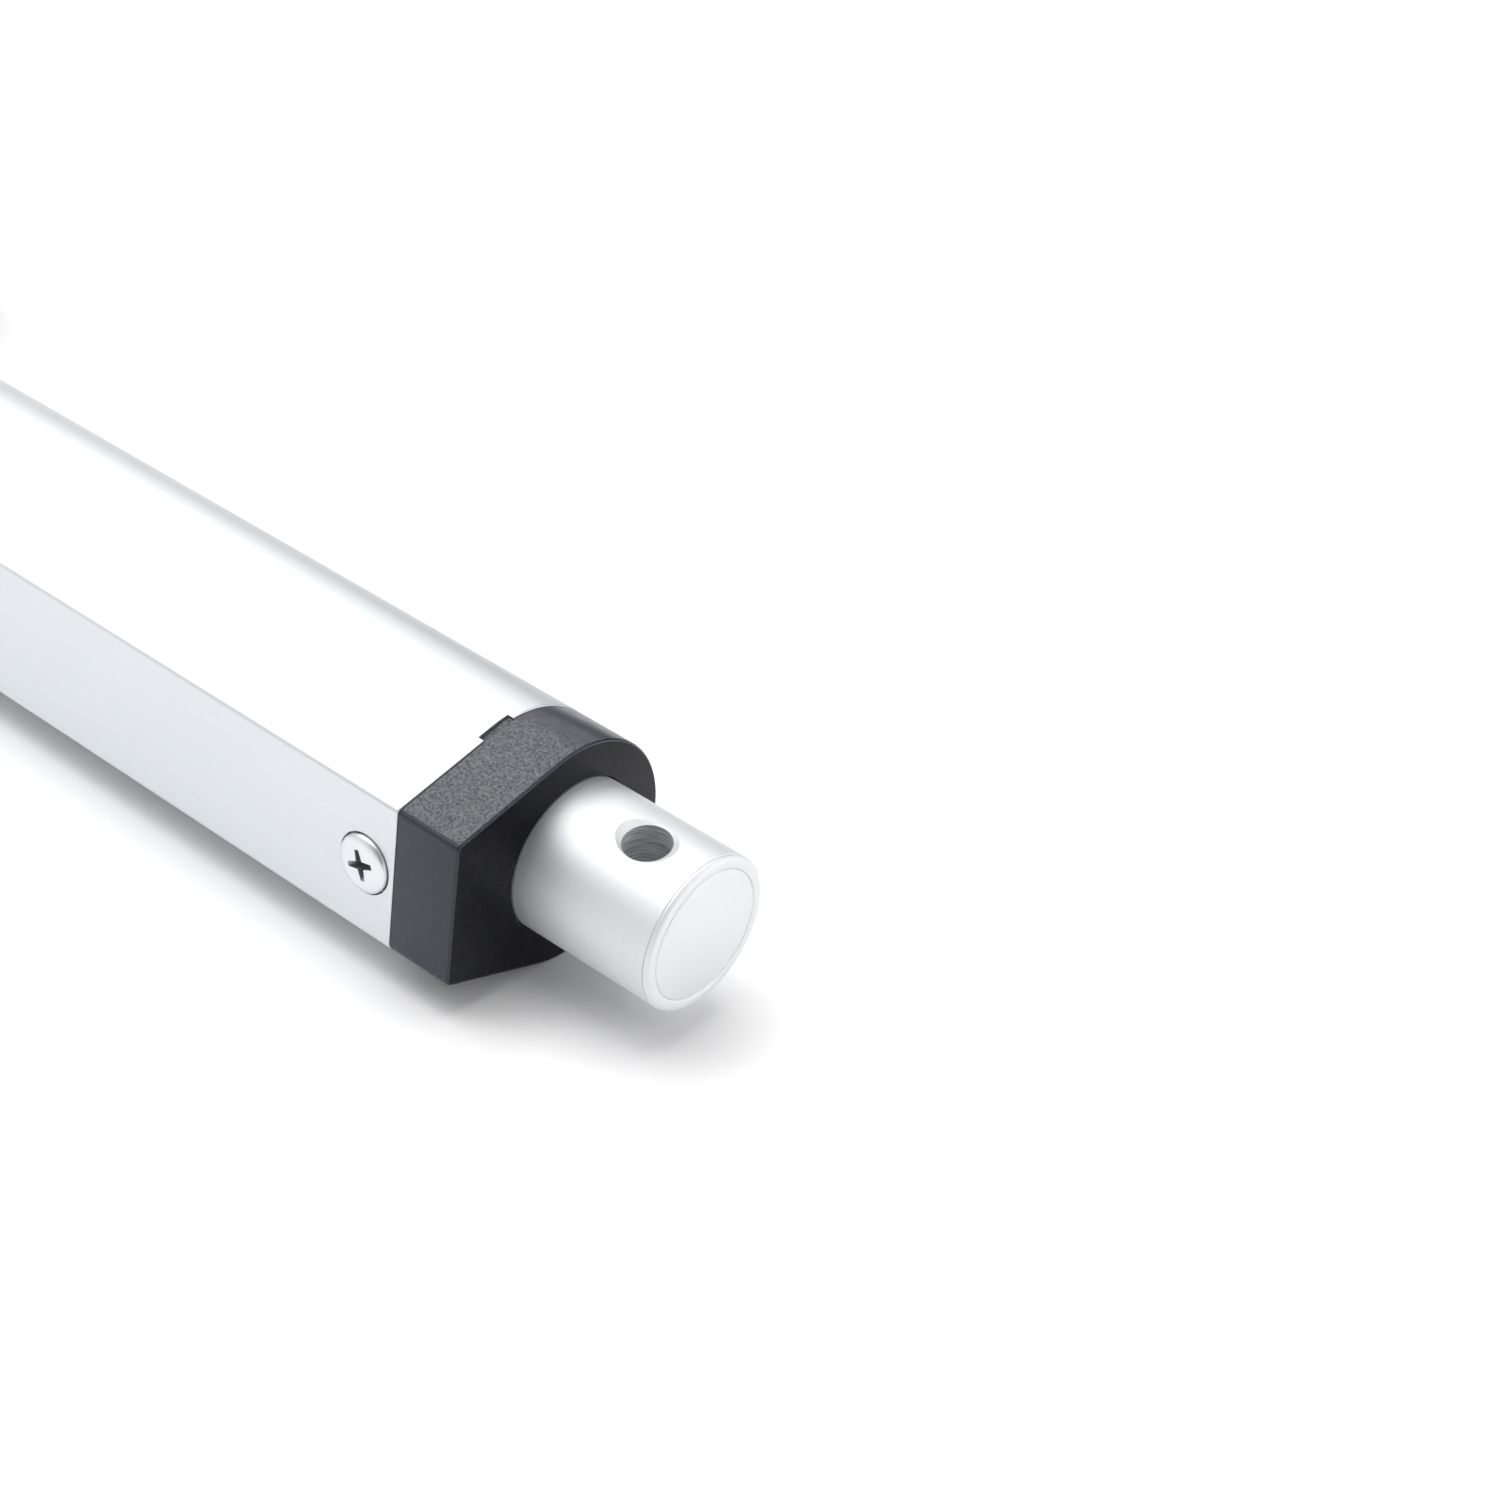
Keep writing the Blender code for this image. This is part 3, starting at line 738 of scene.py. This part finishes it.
# ---- cap screws ------------------------------------------------------------------------------
# Half length, half width at the tip and half width at the middle of a recess blade.
BLADE_TOP = (2.15, 0.32, 0.58)
BLADE_BOTTOM = (0.8, 0.22, 0.4)
RECESS_TURN = -20.0
# Heights along -Y on the flat side, from the rod axis.
RECESS_TOP, RECESS_BOTTOM = -20.9, -18.6
SHANK_END = {"cap_screw_flat_side": -13.2, "cap_screw_round_side": -17.0}


def cross_recess(top, bottom):
    """Two tapered blades of a cross recess, along Y."""
    made = []
    for flip in (False, True):
        rows = []
        for w, (half, tip, waist) in ((top, BLADE_TOP), (bottom, BLADE_BOTTOM)):
            loop = [
                (-half, -tip),
                (0.0, -waist),
                (half, -tip),
                (half, tip),
                (0.0, waist),
                (-half, tip),
            ]
            if flip:
                loop = [(-v, u) for u, v in loop]
            rows.append((w, loop))
        made.append(loft(rows, (), "Y"))
    return made


# The same screw sits on both sides; lift carries it from the flat side's level to the arc's.
for name, turn, lift in (
    ("cap_screw_flat_side", 0.0, 0.0),
    ("cap_screw_round_side", 180.0, FLAT_Y - R_TUBE),
):
    head = [
        (-20.6, 2.3),
        (-20.56, 2.75),
        (-20.46, 3.15),
        (-20.3, 3.5),
        (-20.12, 3.7),
        (-19.98, 3.76),
        (-19.0, 3.76),
        (-18.9, 3.6),
        (-18.9, 1.25),
        (SHANK_END[name], 1.25),
    ]
    chain = [(w + lift, r) for w, r in head]
    screw = to_object(
        name + "_detail",
        place(turned(chain, 96, False, "Y"), CAP_SCREW_PLACE, turn),
        LOOKS["zinc_steel"],
    )
    for blade in cross_recess(RECESS_TOP + lift, RECESS_BOTTOM + lift):
        bmesh.ops.rotate(
            blade,
            verts=blade.verts,
            cent=(0, 0, 0),
            matrix=Matrix.Rotation(math.radians(RECESS_TURN), 3, "Y"),
        )
        shape_with(screw, place(blade, CAP_SCREW_PLACE, turn))
    # Faces inside the cross recess take the darker steel: painted shade.
    screw.data.materials.append(RECESS_PAINTED_SHADE)
    for polygon in screw.data.polygons:
        spot = local(polygon.center)
        below_top = 20.55 - lift - abs(spot.y)
        if 0.0 < below_top < 2.1 and math.hypot(spot.x - SCREW_X, spot.z) < 2.2:
            polygon.material_index = 1
    dress(screw, "housing", [name], 30.0, 0.05, 2)


# ---- gearbox: castings from the gasket's outline, small pieces from the CAD shapes -----------
def softened(node_name, piece_name, slot, bevel, extra=()):
    """A copy of a CAD node with its flat faces rejoined, cut to shape and given rounded edges."""
    bm = bmesh.new()
    bm.from_mesh(nodes[node_name].data)
    bmesh.ops.remove_doubles(bm, verts=bm.verts, dist=1e-7)
    bmesh.ops.dissolve_limit(
        bm, angle_limit=math.radians(0.6), verts=bm.verts, edges=bm.edges, delimit={"NORMAL"}
    )
    made = to_object(piece_name, bm, LOOKS[slot])
    for tool, operation in extra:
        shape_with(made, tool, operation)
    return dress(made, "housing", [node_name], 30.0, bevel)


def hull(points):
    """Convex outline, anticlockwise."""
    points = sorted({(round(u, 4), round(v, 4)) for u, v in points})
    chains = []
    for row in (points, points[::-1]):
        chain = []
        for p in row:
            while len(chain) > 1 and (
                (chain[-1][0] - chain[-2][0]) * (p[1] - chain[-2][1])
                - (chain[-1][1] - chain[-2][1]) * (p[0] - chain[-2][0])
                <= 1e-3
            ):
                chain.pop()
            chain.append(p)
        chains += chain[:-1]
    return chains


def drawn_in(loop, inset):
    """An anticlockwise convex outline moved in by a small distance."""
    made = []
    for i, corner in enumerate(loop):
        here = Vector(corner)
        before = (here - Vector(loop[i - 1])).normalized()
        after = (Vector(loop[(i + 1) % len(loop)]) - here).normalized()
        first, second = Vector((-before.y, before.x)), Vector((-after.y, after.x))
        middle = (first + second).normalized()
        made.append(tuple(here + middle * (inset / max(0.5, middle.dot(first)))))
    return made


TANG_LENGTH = 21.0
TANG_R = 9.0
TANG_HALF = 5.0
TANG_RIM = 0.8
ROOT_R = 2.2
EYE_R = 4.5
SPARE = 0.01
CASE_START = local_box("gearbox_rear_housing")[0].x + TANG_LENGTH
outline_points = []
for vert in nodes["gearbox_gasket"].data.vertices:
    spot = local(vert.co)
    outline_points.append((spot.y, spot.z))
CASE_OUTLINE = hull(outline_points)


def tang_outline(inset):
    """The tang from above, run on into the casting."""
    wide = TANG_R - inset
    turns = [math.pi / 2 + math.pi * i / 40 for i in range(41)]
    tip = [(wide * math.cos(a), wide * math.sin(a)) for a in turns]
    return [(TANG_LENGTH - 1, -wide), (TANG_LENGTH - 1, wide)] + tip


def envelope(w0, w1, fillet0, fillet1, *extra):
    """The casting's outside with rounded rims, as one tool shape."""

    def outline(inset):
        return drawn_in(CASE_OUTLINE, inset - SPARE)

    rims = edge_sections(w0 - SPARE, w1 + SPARE, fillet0, fillet1, outline, 5)
    whole = to_object("envelope", place(loft(rims)), None)
    for shape in extra:
        shape_with(whole, place(shape), "UNION")
    made = bmesh.new()
    made.from_mesh(whole.data)
    bpy.data.objects.remove(whole)
    return made


def rounded_box(half_y, half_z, r):
    """Outline of a rectangle with rounded corners, anticlockwise."""
    made = []
    for cy, cz, start in ((1, 1, 0), (-1, 1, 90), (-1, -1, 180), (1, -1, 270)):
        for t in range(4):
            b = math.radians(start + 30 * t)
            made.append((cy * (half_y - r) + r * math.cos(b), cz * (half_z - r) + r * math.sin(b)))
    return made


tang_rims = edge_sections(
    -TANG_HALF - SPARE,
    TANG_HALF + SPARE,
    TANG_RIM,
    TANG_RIM,
    lambda inset: tang_outline(inset - SPARE),
)
# Fillet where the tang meets the casting, sunk 0.05 mm into both.
root = []
for k in range(6):
    a = math.pi / 2 * k / 5
    back, grow = ROOT_R * math.sin(a), ROOT_R * (1 - math.cos(a))
    loop = rounded_box(TANG_R + grow - 0.05, TANG_HALF + grow - 0.05, TANG_RIM)
    root.append((CASE_START - ROOT_R + back, loop))
root.append((CASE_START + 1.0, root[-1][1]))

wheel_at = centre_of("compound_wheel")
cavity = hull(
    circle_loop((0.0, 0.0), 13.0, 36)
    + circle_loop(wheel_at, 15.0, 36)
    + circle_loop(MOTOR_AT, 8.0, 24)
)
rear = to_object(
    "rear_casting",
    envelope(CASE_START, REAR_END, 1.0, 0.25, loft(tang_rims, (), "Z"), loft(root)),
    LOOKS["casting"],
)
shape_with(rear, place(loft([(CASE_START + 3.2, cavity), (REAR_END + 1.0, cavity)])))
shape_with(rear, place(cylinder(-TANG_HALF - 1, TANG_HALF + 1, EYE_R, 64, "Z")))
# Holes along X: centre, start, end and radius.
OUTSIDE = CASE_START - 1.0
INSIDE = CASE_START + 4.0
holes = [
    ((0.0, 0.0), OUTSIDE - 1.0, INSIDE, 2.7),
    (wheel_at, CASE_START + 0.9, INSIDE, 1.8),
    (centre_of("cable_gland"), OUTSIDE, INSIDE, 3.4),
]
for number in (1, 2, 3, 4):
    screw_at = centre_of("gearbox_screw_%d" % number)
    holes.append((screw_at, OUTSIDE, REAR_END + 0.5, SCREW_HOLE_R))
for (hole_y, hole_z), start, end, r in holes:
    shape_with(rear, place(cylinder(start, end, r, 32), (0.0, hole_y, hole_z)))
dress(rear, "housing", ["gearbox_rear_housing"], 30.0)

tube_collar = cylinder(46.0, 55.0, 13.0, 64)
front = envelope(ADAPTER_START, ADAPTER_END, 0.25, 0.7, tube_collar)
softened("gearbox_adapter", "front_casting", "casting", None, [(front, "INTERSECT")])
softened("rear_pivot_bush", "pivot_bush_ring", "bronze", 0.2)
softened("cable_gland", "gland_collar", "rubber", 0.4)

SOCKET_HALF = 1.25
SOCKET_DEEP = 1.3
for number in (1, 2, 3, 4):
    node_name = "gearbox_screw_%d" % number
    head_start = local_box(node_name)[0].x
    hexagon = circle_loop(centre_of(node_name), SOCKET_HALF / math.cos(math.pi / 6), 6)
    socket = place(loft([(head_start - 1.0, hexagon), (head_start + SOCKET_DEEP, hexagon)]))
    piece_name = "case_screw_%d" % number
    softened(node_name, piece_name, "zinc_steel", 0.15, [(socket, "DIFFERENCE")])

# ---- motor sleeve and end cap ----------------------------------------------------------------
cover_low, cover_high = local_box("motor_cover")
cover_start, cover_end = cover_low.x, cover_high.x
cover_out = (cover_high.y - cover_low.y) / 2
cover_in = 16.0
sleeve_chain = [
    (cover_start, cover_in),
    (cover_start, cover_out - 0.25),
    (cover_start + 0.25, cover_out),
]
for bead in (cover_start + 3.0, cover_end - 3.0):
    sleeve_chain += [
        (bead - 0.7, cover_out),
        (bead - 0.35, cover_out - 0.22),
        (bead, cover_out - 0.3),
        (bead + 0.35, cover_out - 0.22),
        (bead + 0.7, cover_out),
    ]
sleeve_chain += [
    (cover_end - 0.25, cover_out),
    (cover_end, cover_out - 0.25),
    (cover_end, cover_in),
]
sleeve = to_object(
    "motor_sleeve", place(turned(sleeve_chain, 160, True), MOTOR_PLACE), LOOKS["anodised"]
)
dress(sleeve, "housing", ["motor_cover"], 40.0)

end_start, end_face = (corner.x for corner in local_box("motor_end_cap"))
SPIGOT_R = 15.6
# From the axis round the spigot to the rim, then over the sunk face to the boss in its middle.
end_chain = rounded(
    [
        (end_start, 0.0),
        (end_start, SPIGOT_R),
        (cover_end + 0.3, SPIGOT_R),
        (cover_end + 0.3, cover_out),
        (end_face, cover_out),
        (end_face, 15.4),
        (end_face - 0.9, 14.8),
        (end_face - 0.9, 5.2),
        (end_face - 0.2, 4.6),
        (end_face - 0.2, 1.3),
        (end_face - 0.5, 0.0),
    ],
    0.7,
    5,
)
end_cap = to_object(
    "motor_cap_moulding",
    place(turned([(w, max(q, 0.02)) for w, q in end_chain], 128), MOTOR_PLACE),
    LOOKS["black_plastic"],
)
RIB_IN, RIB_OUT = 4.4, 15.2
for spoke in range(6):
    rows = []
    for w, half in ((end_face - 1.2, 0.45), (end_face - 0.35, 0.35)):
        rows.append((w, [(RIB_IN, -half), (RIB_OUT, -half), (RIB_OUT, half), (RIB_IN, half)]))
    shape_with(end_cap, place(loft(rows), MOTOR_PLACE, 60.0 * spoke + 30.0), "UNION")
dress(end_cap, "housing", ["motor_end_cap"], 32.0)

# ---- lead screw ------------------------------------------------------------------------------
THREAD_PITCH = 3.0
CREST, GROOVE = 4.5, 3.1
# Shares of one pitch at which the crest, the falling flank and the groove end.
CREST_END, FALL_END, GROOVE_END = 0.32, 0.45, 0.87
FLANK = FALL_END - CREST_END
THREAD_STEP = 0.3
# Plain journals behind the thread: start, end and radius.
JOURNALS = ((0.0, 13.3, 2.4), (13.3, 24.0, 3.9), (24.0, 33.4, 4.7), (33.4, 35.9, 6.8))
TAIL_R = 3.0
screw_start, screw_end = (corner.x for corner in local_box("lead_screw"))


def thread_radius(w):
    """Trapezoidal thread: the radius round the turn at one place along the screw."""

    def at_angle(a):
        phase = (w / THREAD_PITCH - a / (2 * math.pi)) % 1.0
        if phase < CREST_END:
            return CREST
        if phase < FALL_END:
            return CREST + (GROOVE - CREST) * (phase - CREST_END) / FLANK
        if phase < GROOVE_END:
            return GROOVE
        return GROOVE + (CREST - GROOVE) * (phase - GROOVE_END) / FLANK

    return at_angle


screw_chain = []
for start, end, r in JOURNALS:
    screw_chain += [(screw_start + start, r), (screw_start + end, r)]
thread_from, thread_to = screw_start + 36.0, screw_end - 3.0
for k in range(int((thread_to - thread_from) / THREAD_STEP)):
    w = thread_from + THREAD_STEP * k
    screw_chain.append((w, thread_radius(w)))
screw_chain += [(thread_to + 0.1, TAIL_R), (screw_end - 0.4, TAIL_R), (screw_end, TAIL_R - 0.4)]
lead = to_object("lead_screw_thread", place(turned(screw_chain, 28)), LOOKS["steel"])
dress(lead, "screw", ["lead_screw"], 32.0)

# ---- stage, light and camera -------------------------------------------------------------------
FLOOR_R = 1.6
floor_bm = bmesh.new()
bmesh.ops.create_circle(floor_bm, cap_ends=True, segments=96, radius=FLOOR_R)
floor_look = Shader("white_sweep", (0.93, 0.93, 0.935), 0.85)
floor = to_object("floor", floor_bm, floor_look.material)

# A white backdrop that the camera sees and that gives no light.
world = bpy.data.worlds.new("studio")
bpy.context.scene.world = world
world.use_nodes = True
tree = world.node_tree
path = tree.nodes.new("ShaderNodeLightPath")
tree.nodes["Background"].inputs["Color"].default_value = (0.985, 0.99, 1.0, 1.0)
tree.links.new(path.outputs["Is Camera Ray"], tree.nodes["Background"].inputs["Strength"])

# Soft panels on a dome of radius DOME: elevation and azimuth in degrees, and brightness. The
# brightnesses are fitted to the photograph. STEPS has the panels that would close each ring.
PANELS = (
    (8, 0, 1.52),
    (8, 45, 2.41),
    (8, 135, 0.13),
    (8, 225, 0.71),
    (8, 270, 0.50),
    (26, 0, 1.02),
    (26, 45, 1.24),
    (26, 135, 1.71),
    (26, 180, 0.79),
    (26, 225, 0.93),
    (26, 270, 0.38),
    (46, 0, 0.95),
    (46, 45, 1.25),
    (46, 90, 0.41),
    (46, 135, 1.91),
    (46, 180, 2.38),
    (46, 225, 2.98),
    (46, 270, 0.09),
    (66, 0, 0.43),
    (66, 60, 0.30),
    (66, 120, 0.98),
    (66, 180, 2.72),
    (66, 240, 3.94),
    (66, 300, 0.06),
    (90, 0, 3.12),
)
DOME = 3.2
STEPS = {8: 8, 26: 8, 46: 8, 66: 6}
PANEL_HALF_HEIGHT = math.radians(10)
OVERHEAD_SIZE = 2.0
for number, (lift, turn, strength) in enumerate(PANELS):
    high, round_by = math.radians(lift), math.radians(turn)
    if lift == 90:
        wide, tall = OVERHEAD_SIZE, OVERHEAD_SIZE
    else:
        wide = 2 * DOME * math.cos(high) * math.tan(math.pi / STEPS[lift])
        tall = 2 * DOME * math.tan(PANEL_HALF_HEIGHT)
    data = bpy.data.lights.new("panel_%d" % number, "AREA")
    data.shape = "RECTANGLE"
    data.size = wide
    data.size_y = tall
    data.energy = math.pi * wide * tall * strength
    lamp = bpy.data.objects.new("panel_%d" % number, data)
    bpy.context.scene.collection.objects.link(lamp)
    outward = Vector(
        (
            math.cos(high) * math.cos(round_by),
            math.cos(high) * math.sin(round_by),
            math.sin(high),
        )
    )
    lamp.location = outward * DOME
    lamp.rotation_mode = "QUATERNION"
    lamp.rotation_quaternion = (-outward).to_track_quat("-Z", "Y")
    lamp.visible_camera = False

# The camera looks at the middle of the cap's front face. LENS_PX is its focal length in pixels
# of the 1500 px frame, and its place is in metres from that point along its own axes.
AZIMUTH = math.radians(35.757)
ELEVATION = math.radians(32.442)
ROLL = math.radians(-8.157)
LENS_PX = 2898.74
FRAME_PX = 1500.0
SENSOR = 36.0
CAMERA_DEPTH = 0.34006
CAMERA_SIDE = -0.020835
CAMERA_DROP = 0.012209
forward = -Vector(
    (
        math.sin(AZIMUTH) * math.cos(ELEVATION),
        -math.cos(AZIMUTH) * math.cos(ELEVATION),
        math.sin(ELEVATION),
    )
)
level = forward.cross(Vector((0, 0, 1))).normalized()
below = forward.cross(level)
right = math.cos(ROLL) * level + math.sin(ROLL) * below
down = -math.sin(ROLL) * level + math.cos(ROLL) * below
face_centre = ORIGIN + Vector((CAP_FRONT * MM, 0, 0))
camera_data = bpy.data.cameras.new("camera")
camera_data.lens = SENSOR * LENS_PX / FRAME_PX
camera_data.sensor_width = SENSOR
camera_data.clip_start = 0.01
camera_data.clip_end = 20.0
camera = bpy.data.objects.new("camera", camera_data)
bpy.context.scene.collection.objects.link(camera)
axes = Matrix((right, -down, -forward)).transposed()
camera_at = face_centre - right * CAMERA_SIDE - down * CAMERA_DROP - forward * CAMERA_DEPTH
camera.matrix_world = Matrix.Translation(camera_at) @ axes.to_4x4()
bpy.context.scene.camera = camera
bpy.context.scene.view_settings.view_transform = "Standard"
